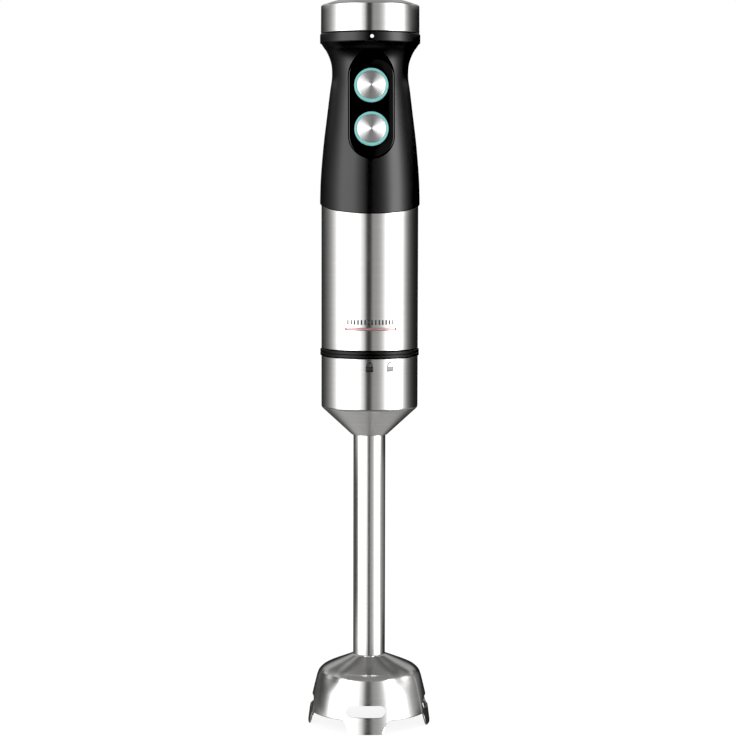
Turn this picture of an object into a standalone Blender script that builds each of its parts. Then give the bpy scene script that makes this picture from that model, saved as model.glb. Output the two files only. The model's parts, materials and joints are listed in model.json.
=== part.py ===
"""Immersion blender: dial, two-button handle, universal motor, bayonet shaft, blade and four-lobed bell.

Lengths in this file are in millimetres and become metres as each mesh is made. +Z is up, the origin is on
the axis at the bottom of the foot, and the buttons face -Y. Neighbouring parts keep a small gap.
"""
import math

import bmesh
import bpy
from mathutils import Matrix, Vector

MM = 0.001
GAP = 0.3                  # clearance between neighbouring parts
MERGE = 0.00001            # welding distance, in metres

# Driving dimensions
BODY_R = 26.1              # steel housings
WALL = 0.6                 # their sheet thickness
TUBE_R = 8.7               # long shaft tube
TUBE_BORE = 7.9
ROD_R = 2.5                # drive rod inside the tube
SHAFT_R = 3.0              # motor shaft
BELL_TOP = 37.4
CONE_LOW = 158.2           # where the coupling cone meets the tube
COUPLING_TOP = 201.1
MOTOR_LOW = 205.4          # bottom of the motor housing
SEAM_Z = 282.8             # seam between steel and grip, on the axis
SEAM_TILT = math.radians(10.0)
COLLAR_TOP = 373.5         # top of the grip
INDEX_Z = 370.9            # index light on the collar
DIAL_R = 26.4
DIAL_EDGE = 389.2          # rim of the dial's dome
DOME_RISE = 3.8
DOME_R = 24.8

# Control panel: a flat facet on the front of the grip that faces a little upwards
PANEL_Z = 334.85
PANEL_Y = -18.9
PANEL_TILT = math.radians(8.35)
PANEL_WIDTH = 24.3
PANEL_LENGTH = 56.4
PANEL_THICK = 2.4
BUTTON_SPOTS = {"upper": 11.17, "lower": -12.08}     # along the panel from its centre
RING_OUTER = 9.15
RING_BORE = 7.75
BUTTON_R = 7.45
BUTTON_PROUD = 1.5

# Bell
LOBES = 4
BELL_TURN = math.radians(-5.5)
BELL_WALL = 1.0
SCALLOP_RISE = 7.0
SCALLOP_START = math.radians(15.5)     # the rim begins to rise this far from a lobe's middle
SCALLOP_SPAN = math.radians(6.5)
CREASE_DEPTH = 0.05                    # share of the radius lost in the crease between two lobes
CREASE_LOW = 18                        # the crease fades in between these heights
CREASE_HIGH = 27
SLOT_Z = 12.0
SLOT_HEIGHT = 6.4
SLOT_LENGTH = 21.4

# Bayonet: three lugs on the shaft's neck
LUGS = 3
TWIST = math.radians(25)
NECK_R = 20.5

LOOKS = {                  # colour, metallic, roughness
    "steel": ((0.66, 0.65, 0.63), 1.0, 0.28),
    "cast_steel": ((0.42, 0.42, 0.42), 1.0, 0.45),
    "soft_black": ((0.022, 0.022, 0.023), 0.0, 0.5),
    "gloss_black": ((0.006, 0.006, 0.007), 0.0, 0.12),
    "inner_plastic": ((0.05, 0.05, 0.052), 0.0, 0.55),
    "white_plastic": ((0.75, 0.75, 0.73), 0.0, 0.4),
    "light_pipe": ((0.55, 0.93, 0.9), 0.0, 0.3),
    "rubber": ((0.015, 0.015, 0.015), 0.0, 0.75),
    "copper": ((0.72, 0.33, 0.16), 1.0, 0.35),
    "brass": ((0.72, 0.52, 0.22), 1.0, 0.35),
    "carbon": ((0.03, 0.03, 0.03), 0.0, 0.8),
    "board": ((0.02, 0.16, 0.07), 0.0, 0.5),
}


def collection(name):
    made = bpy.data.collections.new(name)
    bpy.context.scene.collection.children.link(made)
    return made


for old in list(bpy.data.objects):
    bpy.data.objects.remove(old, do_unlink=True)
PARTS = collection("immersion_blender")
CUTTERS = collection("cutters")


# ---------------------------------------------------------------- tools

def material(name, look):
    colour, metallic, roughness = LOOKS[look]
    made = bpy.data.materials.new(name)
    made.use_nodes = True
    shader = made.node_tree.nodes["Principled BSDF"]
    shader.inputs["Base Color"].default_value = (*colour, 1.0)
    shader.inputs["Metallic"].default_value = metallic
    shader.inputs["Roughness"].default_value = roughness
    return made


def add(name, mesh, look=None, frame=None):
    """Links a mesh as a part with its own material, or as a cutter where it has no look."""
    piece = bpy.data.objects.new(name, mesh)
    if look:
        PARTS.objects.link(piece)
        mesh.materials.append(material(name, look))
    else:
        CUTTERS.objects.link(piece)
        piece.hide_render = True
        piece.display_type = "WIRE"
    if frame:
        piece.matrix_world = frame
    return piece


def evaluated_mesh(piece):
    bpy.context.view_layer.update()
    graph = bpy.context.evaluated_depsgraph_get()
    return bpy.data.meshes.new_from_object(piece.evaluated_get(graph))


def smooth(mesh, angle=35):
    mesh.shade_smooth()
    mesh.set_sharp_from_angle(angle=math.radians(angle))


def turned(name, profile, look=None, steps=24, ring=True, frame=None):
    """Turns (radius, height) points about Z. They run down the outer side, and a ring's come back up its bore."""
    mesh = bpy.data.meshes.new(name)
    count = len(profile)
    edges = [(i, (i + 1) % count) for i in range(count if ring else count - 1)]
    mesh.from_pydata([(r * MM, 0, z * MM) for r, z in profile], edges, [])
    blank = bpy.data.objects.new(name + "_blank", mesh)
    PARTS.objects.link(blank)
    screw = blank.modifiers.new("Turn", "SCREW")
    screw.steps = screw.render_steps = steps
    screw.use_merge_vertices = True
    screw.merge_threshold = MERGE
    made = evaluated_mesh(blank)
    bpy.data.objects.remove(blank)
    bpy.data.meshes.remove(mesh)
    made.name = name
    smooth(made)
    return add(name, made, look, frame)


def sleeve(name, outer, bore, low, high, look=None, steps=24, frame=None):
    return turned(name, [(outer, high), (outer, low), (bore, low), (bore, high)], look, steps, frame=frame)


def rod(name, radius, low, high, look=None, steps=16, frame=None):
    return turned(name, [(0, high), (radius, high), (radius, low), (0, low)], look, steps, ring=False, frame=frame)


def block(name, low, high, look=None, frame=None):
    """A box between two corners."""
    shape = bmesh.new()
    bmesh.ops.create_cube(shape, size=1.0)
    size = [(b - a) * MM for a, b in zip(low, high)]
    middle = [(a + b) * MM / 2 for a, b in zip(low, high)]
    bmesh.ops.scale(shape, vec=size, verts=shape.verts)
    bmesh.ops.translate(shape, vec=middle, verts=shape.verts)
    mesh = bpy.data.meshes.new(name)
    shape.to_mesh(mesh)
    shape.free()
    return add(name, mesh, look, frame)


def meshed(curve_piece, name, look, frame=None):
    """Replaces a curve object by a welded mesh object."""
    mesh = evaluated_mesh(curve_piece)
    shape = bmesh.new()
    shape.from_mesh(mesh)
    bmesh.ops.remove_doubles(shape, verts=shape.verts, dist=MERGE)
    shape.to_mesh(mesh)
    shape.free()
    bpy.data.objects.remove(curve_piece)
    mesh.materials.clear()
    return add(name, mesh, look, frame)


def plate(name, outline, low, high, look=None, frame=None):
    """A flat outline in local XY, thickened from one height to another along local Z."""
    curve = bpy.data.curves.new(name, "CURVE")
    curve.dimensions = "2D"
    curve.fill_mode = "BOTH"
    curve.extrude = (high - low) / 2 * MM
    line = curve.splines.new("POLY")
    line.points.add(len(outline) - 1)
    for point, (x, y) in zip(line.points, outline):
        point.co = (x * MM, y * MM, 0, 1)
    line.use_cyclic_u = True
    blank = bpy.data.objects.new(name + "_blank", curve)
    PARTS.objects.link(blank)
    lift = Matrix.Translation((0, 0, (low + high) / 2 * MM))
    return meshed(blank, name, look, (frame or Matrix()) @ lift)


def wire(name, points, radius, look, closed=False):
    """A round wire through points, with filled ends unless it is a closed loop."""
    curve = bpy.data.curves.new(name, "CURVE")
    curve.dimensions = "3D"
    curve.bevel_depth = radius * MM
    curve.bevel_resolution = 2
    curve.use_fill_caps = not closed
    line = curve.splines.new("POLY")
    line.points.add(len(points) - 1)
    for point, place in zip(line.points, points):
        point.co = (*[c * MM for c in place], 1)
    line.use_cyclic_u = closed
    blank = bpy.data.objects.new(name + "_blank", curve)
    PARTS.objects.link(blank)
    made = meshed(blank, name, look)
    smooth(made.data)
    return made


def boolean(piece, other, operation="DIFFERENCE"):
    change = piece.modifiers.new(other.name, "BOOLEAN")
    change.operation = operation
    change.solver = "EXACT"
    change.object = other


def arc(centre, radius, start, end, steps):
    """Points of an arc, its angles in degrees."""
    angles = [math.radians(start + (end - start) * i / steps) for i in range(steps + 1)]
    return [(centre[0] + radius * math.cos(a), centre[1] + radius * math.sin(a)) for a in angles]


def pill(width, length, steps=10):
    """Outline of a pill that stands along local Y."""
    reach = (length - width) / 2
    return arc((0, reach), width / 2, 0, 180, steps) + arc((0, -reach), width / 2, 180, 360, steps)


def turn(angle):
    return Matrix.Rotation(angle, 4, "Z")


def panel_frame(along=0.0):
    """Frame on the panel's face: local Z points out of the panel, local Y up along it."""
    up = Vector((0, math.sin(PANEL_TILT), math.cos(PANEL_TILT)))
    out = Vector((0, -math.cos(PANEL_TILT), math.sin(PANEL_TILT)))
    place = Vector((0, PANEL_Y, PANEL_Z)) + up * along
    columns = Matrix((Vector((1, 0, 0)), up, out)).transposed().to_4x4()
    return Matrix.Translation(place * MM) @ columns


def front_frame(height):
    """Frame on the axis at a height: local Z points to the front."""
    return Matrix.Translation((0, 0, height * MM)) @ Matrix.Rotation(math.radians(90), 4, "X")


# ---------------------------------------------------------------- foot and shaft

def bell_radius_share(angle):
    """Share of the full radius at an angle from the nearest lobe: the shoulder is creased between lobes."""
    beyond = (math.pi / LOBES - abs(angle)) / math.radians(13)
    return math.exp(-beyond * beyond)


def bell_ring(radius, height, angles):
    """One ring of the bell. Near the rim its height rises between the lobes."""
    crease = CREASE_DEPTH * min(1.0, max(0.0, height - CREASE_LOW) / (CREASE_HIGH - CREASE_LOW))
    pitch = 2 * math.pi / LOBES
    points = []
    for angle in angles:
        off = (angle + pitch / 2) % pitch - pitch / 2
        r = radius * (1 - crease * bell_radius_share(off))
        share = min(1.0, max(0.0, (abs(off) - SCALLOP_START) / SCALLOP_SPAN))
        rise = SCALLOP_RISE * share * share * (3 - 2 * share) * max(0.0, 1 - height / SLOT_Z)
        points.append(Vector((r * math.cos(angle), r * math.sin(angle), height + rise)) * MM)
    return points


def bell_guard():
    outer = [(9.0, BELL_TOP), (14.8, 35.1), (20, 33.0), (24.6, 30.8), (27.2, 28.5), (28.2, 26.4), (28.9, 24),
             (30.7, 16.5), (32.1, 10), (32.8, 5), (33.5, 0)]
    inner = [(r - BELL_WALL, z) for r, z in reversed(outer[6:])]
    inner += [(26.0, 27.5), (23.8, 29.7), (14.3, 34.0), (8.0, 36.4), (8.0, BELL_TOP)]
    half = [7, 12, 15.5, 18.7, 22, 29, 37]
    steps = [0, *half, 45, *[90 - step for step in reversed(half)]]
    angles = [math.radians(step + 90 * lobe) for lobe in range(LOBES) for step in steps]
    shape = bmesh.new()
    rings = [[shape.verts.new(p) for p in bell_ring(r, z, angles)] for r, z in outer + inner]
    count = len(angles)
    for k, ring in enumerate(rings):
        below = rings[(k + 1) % len(rings)]
        for i in range(count):
            j = (i + 1) % count
            shape.faces.new((ring[i], below[i], below[j], ring[j]))
    mesh = bpy.data.meshes.new("bell_guard")
    shape.to_mesh(mesh)
    shape.free()
    smooth(mesh, 50)
    bell = add("bell_guard", mesh, "steel", turn(BELL_TURN))
    for lobe in range(LOBES):
        side = turn(BELL_TURN + lobe * 2 * math.pi / LOBES) @ front_frame(SLOT_Z) @ turn(math.pi / 2)
        boolean(bell, plate(f"bell_slot_{lobe}", pill(SLOT_HEIGHT, SLOT_LENGTH, 6), 24, 40, None, side))


def shaft_tube():
    sleeve("shaft_tube", TUBE_R, TUBE_BORE, BELL_TOP + GAP, 184.0, "steel", 32)


def bearing_carrier():
    """Plastic hub under the bell that holds the seal and the lower bush."""
    turned("bearing_carrier", [(7.5, 62), (7.5, 36.0), (11.6, 34.4), (11.6, 31.0), (9.5, 27.2), (4.6, 27.2),
                               (4.6, 62)], "inner_plastic")
    sleeve("lower_bush", 4.3, 2.8, 36, 60, "brass", 16)
    sleeve("shaft_seal", 4.3, 2.75, 27.6, 33, "rubber", 16)


def coupling_housing():
    side = BODY_R
    turned("coupling_housing", [(side, COUPLING_TOP), (side, 174.3), (side - 0.6, 172.9), (9.7, CONE_LOW),
                                (TUBE_R + GAP, CONE_LOW), (TUBE_R + GAP, CONE_LOW + 1.5), (side - 1.3, 173.4),
                                (side - WALL, 174.6), (side - WALL, COUPLING_TOP)], "steel", 48)


def coupling_insert():
    """Plastic core of the coupling: it grips the tube and carries the bayonet lugs on its neck."""
    insert = turned("coupling_insert", [(NECK_R, 214), (NECK_R, 200.8), (25.2, 200.8), (25.2, 177), (23.6, 177),
                                        (23.6, 189), (11.4, 189), (11.4, 177), (9.0, 177), (9.0, 184.3),
                                        (6.6, 184.3), (6.6, 191.5), (15.5, 191.5), (15.5, 214)],
                    "inner_plastic", 24)
    for lug in range(LUGS):
        side = turn(lug * 2 * math.pi / LUGS)
        boolean(insert, block(f"lug_{lug}", (18.5, -5, 208.8), (22.2, 5, 212.7), None, side), "UNION")
    sleeve("upper_bush", 6.3, 2.8, 184.7, 191.2, "brass", 16)


def dogs(piece, first, low, high):
    """Three upright driving dogs on a coupler's face."""
    for dog in range(3):
        side = turn(math.radians(first + 120 * dog))
        name = f"{piece.name}_dog_{dog}"
        boolean(piece, block(name, (5.0, -1.2, low), (8.6, 1.2, high), None, side), "UNION")


def blade_shaft():
    rod("drive_rod", ROD_R, 9.8, 200.8, "cast_steel")
    driven = sleeve("driven_coupler", 9.0, 2.8, 193.6, 201.4, "inner_plastic")
    dogs(driven, 60, 200.5, 205.6)
    sleeve("blade_collar", 4.0, 2.8, 16.3, 26.8, "steel", 16)
    turned("blade_nut", [(0, 9.4), (2.8, 9.4), (2.8, 13.3), (4.4, 13.3), (4.4, 9.2), (3.2, 8.0), (0, 8.0)],
           "steel", 12, ring=False)


def blade():
    """Two swept wings on a hub, one turned up and the other down."""
    hub = sleeve("blade", 5.2, 2.8, 13.7, 15.9, "steel", 20)
    wing = [(3.4, -3.0), (11, -4.2), (18.5, -2.6), (20.6, 1.6), (12, 2.6), (3.4, 3.0)]
    for side, lift in enumerate((12, -9)):
        frame = turn(math.pi * side + 0.4) @ Matrix.Translation((0, 0, 14.8 * MM))
        frame = frame @ Matrix.Rotation(math.radians(-lift), 4, "Y")
        boolean(hub, plate(f"blade_wing_{side}", wing, -0.6, 0.6, None, frame), "UNION")


# ---------------------------------------------------------------- motor unit shells

def seam_cutter(name, height, above):
    """A big block on one side of the tilted seam plane."""
    low, high = (0, 90) if above else (-90, 0)
    frame = Matrix.Translation((0, 0, height * MM)) @ Matrix.Rotation(SEAM_TILT, 4, "X")
    return block(name, (-60, -60, low), (60, 60, high), None, frame)


def motor_housing():
    housing = sleeve("motor_housing", BODY_R, BODY_R - WALL, MOTOR_LOW, 300, "steel", 48)
    boolean(housing, seam_cutter("seam_above", SEAM_Z, True))
    sleeve("gasket_ring", 26.7, 21.2, COUPLING_TOP + GAP, MOTOR_LOW - GAP, "rubber", 48)


def bayonet_socket():
    socket = turned("bayonet_socket", [(25.2, 216), (25.2, 205.8), (20.9, 205.8), (20.9, 208.5), (23.2, 208.5),
                                       (23.2, 213), (20.9, 213), (20.9, 216)], "inner_plastic", 32)
    for lug in range(LUGS):
        locked = lug * 2 * math.pi / LUGS
        entry = block(f"lug_entry_{lug}", (19, -5.7, 204), (23.2, 5.7, 209.5), None, turn(locked - TWIST))
        boolean(socket, entry)
        for end, angle in (("locked", 17.5), ("free", -42.5)):
            side = turn(locked + math.radians(angle))
            stop = block(f"lug_stop_{end}_{lug}", (21.1, -1.2, 208), (24.2, 1.2, 213.5), None, side)
            boolean(socket, stop, "UNION")


def grip():
    outer = [(26.85, COLLAR_TOP), (26.85, 368.6), (26.35, 368.4), (23.15, 364), (21.45, 360), (20.45, 355.6),
             (20.45, 350), (21.5, 342.8), (23.1, 330), (24.7, 317), (25.85, 305), (26.55, 296), (26.85, 282),
             (26.85, 265)]
    inner = [(25.2, 265), (25.2, 287), (24.25, 305), (21.5, 330), (19.8, 343), (18.8, 350), (18.8, 356.4),
             (21.3, 364.3), (25.2, 369.4), (25.2, COLLAR_TOP)]
    handle = turned("handle_grip", outer + inner, "soft_black", 40)
    boolean(handle, seam_cutter("seam_below", SEAM_Z + GAP, False))
    opening = pill(PANEL_WIDTH + 2 * GAP, PANEL_LENGTH + 2 * GAP, 12)
    boolean(handle, plate("panel_opening", opening, -3.2, 14, None, panel_frame()))
    boolean(handle, rod("index_hole", 1.35, 20, 30, frame=front_frame(INDEX_Z)))
    rod("index_light", 1.05, 25.4, 27.0, "white_plastic", 12, front_frame(INDEX_Z))


def control_panel():
    panel = plate("control_panel", pill(PANEL_WIDTH, PANEL_LENGTH, 12), -PANEL_THICK, 0, "gloss_black",
                  panel_frame())
    for name, along in BUTTON_SPOTS.items():
        boolean(panel, rod(f"ring_hole_{name}", RING_OUTER + GAP, -6, 6, None, 24, panel_frame(along)))
    for corner, (x, y) in enumerate(((-9.4, 19.5), (9.4, 19.5), (-9.4, -19.5), (9.4, -19.5))):
        frame = panel_frame(y) @ Matrix.Translation((x * MM, 0, 0))
        boolean(panel, rod(f"panel_post_{corner}", 1.5, -9.8, -1.5, None, 8, frame), "UNION")


def buttons():
    for name, along in BUTTON_SPOTS.items():
        frame = panel_frame(along)
        sleeve(f"light_ring_{name}", RING_OUTER, RING_BORE, -1.7, 0.9, "light_pipe", 32, frame)
        turned(f"button_{name}", [(0, BUTTON_PROUD), (6.9, BUTTON_PROUD), (BUTTON_R, 1.0), (BUTTON_R, -2.0),
                                  (8.8, -2.0), (8.8, -3.0), (2.0, -3.0), (2.0, -6.0), (0, -6.0)],
               "steel", 24, ring=False, frame=frame)
        turned(f"button_switch_{name}", [(0, -7.8), (1.7, -7.8), (1.7, -8.4), (5.5, -8.4), (5.5, -9.8),
                                         (0, -9.8)], "inner_plastic", 16, ring=False, frame=frame)


def control_board():
    block("control_board", (-12, -26, -11.7), (12, 22, -10.1), "board", panel_frame())
    for name, side in (("left", -1), ("right", 1)):
        route = [(7 * side, -11.9, 306), (8 * side, -10.7, 300), (12 * side, -6, 293), (16 * side, -1, 287),
                 (16.5 * side, 0, 283.6)]
        wire(f"motor_lead_{name}", route, 0.7, "rubber")


# ---------------------------------------------------------------- dial and cord outlet

def dome_height(radius):
    return DIAL_EDGE + DOME_RISE * (1 - (radius / DOME_R) ** 2)


def speed_dial():
    top = [(r, dome_height(r)) for r in (7.2, 12, 17, 21.5, DOME_R)]
    under = [(r, dome_height(r) - 1.5) for r in (23.9, 17, 7.2)]
    turned("speed_dial_cap", [*top, (DIAL_R - 0.6, DIAL_EDGE - 0.5), (DIAL_R, DIAL_EDGE - 1.7),
                              (DIAL_R, COLLAR_TOP + GAP), (DIAL_R - 1.5, COLLAR_TOP + GAP),
                              (DIAL_R - 1.5, DIAL_EDGE - 2), *under], "steel", 40)
    turned("dial_hub", [(24.5, 386), (24.5, 375), (22.7, 375), (22.7, 378.8), (9.2, 378.8), (9.2, 371.2),
                        (7.2, 371.2), (7.2, 389.8), (9.2, 389.8), (9.2, 380.8), (22.7, 380.8), (22.7, 386)],
           "inner_plastic", 24)


def cord_outlet():
    """Deck that closes the grip, its centre tube and the gland in it: the dial turns about them."""
    turned("top_deck", [(6.8, 390.6), (6.8, 370.8), (24.7, 370.8), (24.7, 369.2), (4.4, 369.2), (4.4, 390.6)],
           "inner_plastic", 24)
    sleeve("speed_sensor", 18, 10.4, 371.1, 374.2, "white_plastic")
    turned("cord_gland", [(5.2, 396.4), (5.9, 395.8), (6.5, 391.0), (4.0, 391.0), (4.0, 382), (3.4, 382),
                          (3.4, 396.4)], "rubber")


# ---------------------------------------------------------------- motor

def motor_frame():
    """Chassis tube, the two end brackets with their bearings, and the bolts through them."""
    sleeve("motor_carrier", 24.6, 23.3, 216.4, 296, "inner_plastic")
    lower = turned("lower_bracket", [(22.9, 219.4), (22.9, 217.2), (10.4, 217.2), (10.4, 214.8), (8.3, 214.8),
                                     (8.3, 221), (10.4, 221), (10.4, 219.4)], "inner_plastic", 20)
    upper = turned("upper_bracket", [(22.9, 283.1), (22.9, 281), (5, 281), (5, 282.6), (8.3, 282.6),
                                     (8.3, 288.6), (10.2, 288.6), (10.2, 283.1)], "inner_plastic", 20)
    sleeve("lower_bearing", 8.0, SHAFT_R + GAP, 215, 220.8, "cast_steel", 20)
    sleeve("upper_bearing", 8.0, SHAFT_R + GAP, 282.9, 288.4, "cast_steel", 20)
    return lower, upper


def field(brackets):
    """Laminated stator with a coil at the front and at the rear, and the two long bolts."""
    stator = sleeve("field_stator", 22.6, 13.4, 234.4, 262.6, "cast_steel", 32)
    for x in (-12.5, 12.5):
        for y in (-12.5, 12.5):
            slot = block(f"coil_slot_{x:.0f}_{y:.0f}", (x - 2.6, y - 2.6, 230), (x + 2.6, y + 2.6, 267))
            boolean(stator, slot)
    for name, side in (("front", -1), ("rear", 1)):
        half = [(12.5, 233.8), (12.5, 263.2), (10, 265.6)]
        loop = half + [(-x, z) for x, z in reversed(half)] + [(-10, 231.4), (10, 231.4)]
        wire(f"field_coil_{name}", [(x, 12.5 * side, z) for x, z in loop], 1.9, "copper", closed=True)
        place = Matrix.Translation((0, 19 * side * MM, 0))
        bore = rod(f"bolt_bore_{name}", 1.65, 210, 290, frame=place)
        for piece in (stator, *brackets):
            boolean(piece, bore)
        turned(f"through_bolt_{name}", [(0, 285.2), (2.6, 285.2), (2.6, 283.4), (1.3, 283.4), (1.3, 215.4),
                                        (0, 215.4)], "steel", 12, ring=False, frame=place)


def brushes():
    for name, side in (("left", math.pi), ("right", 0)):
        holder = block(f"brush_holder_{name}", (10.4, -3.9, 269.2), (21, 3.9, 278.8), "brass", turn(side))
        boolean(holder, block(f"brush_seat_{name}", (9, -2.8, 270.2), (19.5, 2.8, 277.8), None, turn(side)))
        block(f"carbon_brush_{name}", (8.0, -2.5, 270.5), (15.9, 2.5, 277.5), "carbon", turn(side))


def cooling_fan():
    bore = SHAFT_R + GAP
    fan = turned("cooling_fan", [(16, 223.7), (16, 222.5), (bore, 222.5), (bore, 227.5), (6, 227.5), (6, 223.7)],
                 "white_plastic")
    for vane in range(8):
        side = turn(vane * math.pi / 4)
        boolean(fan, block(f"fan_vane_{vane}", (5.2, -0.5, 223.2), (15.6, 0.5, 227.2), None, side), "UNION")


def rotor():
    bore = SHAFT_R + GAP
    rod("motor_shaft", SHAFT_R, 206.3, 289.4, "steel")
    sleeve("armature_core", 12.9, bore, 235, 262, "cast_steel")
    for name, low in (("lower", 230.4), ("upper", 262.3)):
        high = low + 4.3
        turned(f"armature_winding_{name}", [(8.6, high), (9.6, high - 1), (9.6, low + 1), (8.6, low), (bore, low),
                                            (bore, high)], "copper", 20)
    sleeve("commutator", 7.6, bore, 269.5, 279.5, "copper")
    driver = sleeve("drive_coupler", 9.0, bore, 206, 213, "inner_plastic")
    dogs(driver, 0, 201.8, 206.5)


def build():
    bell_guard()
    shaft_tube()
    bearing_carrier()
    coupling_housing()
    coupling_insert()
    blade_shaft()
    blade()
    motor_housing()
    bayonet_socket()
    grip()
    control_panel()
    buttons()
    control_board()
    speed_dial()
    cord_outlet()
    field(motor_frame())
    brushes()
    cooling_fan()
    rotor()


build()
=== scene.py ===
"""Looks of the immersion blender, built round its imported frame: shells, controls, blade guard and marks.

Lengths are in millimetres until a mesh is made. The heights and radii that a piece shares with its CAD node
are read from the frame's boxes, and the shape between them is given here.
"""
import json
import math
import bmesh
import bpy
import numpy as np
from mathutils import Matrix, Vector


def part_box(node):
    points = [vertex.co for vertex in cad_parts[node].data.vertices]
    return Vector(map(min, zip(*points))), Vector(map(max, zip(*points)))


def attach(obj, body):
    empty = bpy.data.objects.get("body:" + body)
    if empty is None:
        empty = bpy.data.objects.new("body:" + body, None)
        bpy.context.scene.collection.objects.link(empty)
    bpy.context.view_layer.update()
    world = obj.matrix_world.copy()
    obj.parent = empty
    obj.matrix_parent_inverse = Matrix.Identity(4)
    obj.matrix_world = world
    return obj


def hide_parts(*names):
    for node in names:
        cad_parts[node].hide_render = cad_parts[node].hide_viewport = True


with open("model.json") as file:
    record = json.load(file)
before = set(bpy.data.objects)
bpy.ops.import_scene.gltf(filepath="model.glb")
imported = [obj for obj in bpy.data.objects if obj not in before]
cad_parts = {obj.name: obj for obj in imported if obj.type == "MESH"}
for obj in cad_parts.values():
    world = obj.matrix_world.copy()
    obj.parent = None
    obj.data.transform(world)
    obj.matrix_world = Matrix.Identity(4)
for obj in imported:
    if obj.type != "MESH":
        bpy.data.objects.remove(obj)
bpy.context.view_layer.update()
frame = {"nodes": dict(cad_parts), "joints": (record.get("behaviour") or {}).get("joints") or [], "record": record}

MM = 0.001
SEAM_SLOPE = math.tan(math.radians(10.0))    # the seam between steel and grip rises towards the back


def box(node):
    """Lowest and highest corner of a CAD node, in millimetres."""
    low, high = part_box(node)
    return low / MM, high / MM


def ease(value, start, end):
    """Smooth step from 0 to 1 between two values."""
    share = min(1.0, max(0.0, (value - start) / (end - start)))
    return share * share * (3 - 2 * share)


# ---------------------------------------------------------------- mesh tools

def fillet(corners, steps=5):
    """A path through (x, y, fillet radius) corners, with an arc at each corner that has a radius."""
    path = []
    for k, (x, y, radius) in enumerate(corners):
        here = Vector((x, y))
        if not radius:
            path.append((x, y))
            continue
        before = Vector(corners[k - 1][:2]) - here
        after = Vector(corners[(k + 1) % len(corners)][:2]) - here
        half = before.angle(after) / 2
        reach = min(radius / math.tan(half), 0.49 * before.length, 0.49 * after.length)
        radius = reach * math.tan(half)
        start = here + before.normalized() * reach
        end = here + after.normalized() * reach
        middle = here + (before.normalized() + after.normalized()).normalized() * radius / math.sin(half)
        a = start - middle
        b = end - middle
        sweep = a.angle_signed(b)
        for i in range(steps + 1):
            angle = -sweep * i / steps
            path.append(tuple(middle + Matrix.Rotation(angle, 2) @ a))
    return path


def spline(points, per_span=8):
    """A smooth curve through points."""
    points = [np.array(p, float) for p in points]
    padded = [2 * points[0] - points[1], *points, 2 * points[-1] - points[-2]]
    path = []
    for a, b, c, d in zip(padded, padded[1:], padded[2:], padded[3:]):
        for i in range(per_span):
            t = i / per_span
            path.append(tuple(0.5 * (2 * b + (c - a) * t + (2 * a - 5 * b + 4 * c - d) * t ** 2
                                     + (3 * b - a - 3 * c + d) * t ** 3)))
    path.append(tuple(points[-1]))
    return path


def subdivide(path, longest):
    """Splits the long spans of a closed path, so that its faces stay short."""
    made = []
    for a, b in zip(path, path[1:] + path[:1]):
        parts = max(1, math.ceil(math.dist(a, b) / longest))
        made += [(a[0] + (b[0] - a[0]) * i / parts, a[1] + (b[1] - a[1]) * i / parts) for i in range(parts)]
    return made


def finished(name, verts, faces, sharp=30):
    """A piece from points in millimetres, welded and shaded smooth up to an angle."""
    mesh = bpy.data.meshes.new(name)
    mesh.from_pydata([tuple(c * MM for c in v) for v in verts], [], faces)
    shape = bmesh.new()
    shape.from_mesh(mesh)
    bmesh.ops.remove_doubles(shape, verts=shape.verts, dist=1e-7)
    shape.to_mesh(mesh)
    shape.free()
    mesh.shade_smooth()
    mesh.set_sharp_from_angle(angle=math.radians(sharp))
    piece = bpy.data.objects.new(name, mesh)
    bpy.context.scene.collection.objects.link(piece)
    return piece


def turned_faces(rows, steps, ring=True):
    """Quads between the rows of a turned shape. In a ring, the last row joins the first."""
    faces = []
    for i in range(rows if ring else rows - 1):
        j = (i + 1) % rows
        for k in range(steps):
            n = (k + 1) % steps
            faces.append((i * steps + k, j * steps + k, j * steps + n, i * steps + n))
    return faces


def stacked_faces(rows, count):
    """Quads between closed rows of points that lie one above the other."""
    faces = []
    for i in range(rows - 1):
        for k in range(count):
            n = (k + 1) % count
            faces.append((i * count + k, i * count + n, (i + 1) * count + n, (i + 1) * count + k))
    return faces


def band_faces(count):
    """Quads along a band whose points come in pairs, one on each edge."""
    return [(2 * k, 2 * k + 2, 2 * k + 3, 2 * k + 1) for k in range(count // 2 - 1)]


def lathe(name, path, steps=160, warp=None, ring=True):
    """Turns a path of (radius, height) about Z. It runs down the outer side; warp moves a point's height."""
    verts = []
    for radius, height in path:
        for k in range(steps):
            angle = 2 * math.pi * k / steps
            x = radius * math.cos(angle)
            y = radius * math.sin(angle)
            verts.append((x, y, warp(x, y, height) if warp else height))
    return finished(name, verts, turned_faces(len(path), steps, ring))


def pill(width, length, steps=32):
    """Outline of a pill that stands along local Y."""
    reach = (length - width) / 2
    angles = [math.pi * i / steps for i in range(steps + 1)]
    top = [(width / 2 * math.cos(a), reach + width / 2 * math.sin(a)) for a in angles]
    return top + [(-x, -y) for x, y in top]


def prism(name, outline, low, high, edge=0.0, steps=5):
    """A flat outline raised along local Z, its upper edge rounded by insetting the outline step by step."""
    levels = [(0.0, low)]
    for a in np.linspace(0, math.pi / 2, steps + 1 if edge else 1):
        levels.append((edge * (1 - math.cos(a)), high - edge * (1 - math.sin(a))))
    count = len(outline)
    verts = []
    for inset, height in levels:
        for k, (x, y) in enumerate(outline):
            before = Vector(outline[k - 1])
            after = Vector(outline[(k + 1) % count])
            along = (after - before).normalized()
            verts.append((x - along.y * inset, y + along.x * inset, height))
    faces = [tuple(range(count - 1, -1, -1))] + stacked_faces(len(levels), count)
    faces.append(tuple(range((len(levels) - 1) * count, len(levels) * count)))
    return finished(name, verts, faces, 40)


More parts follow.
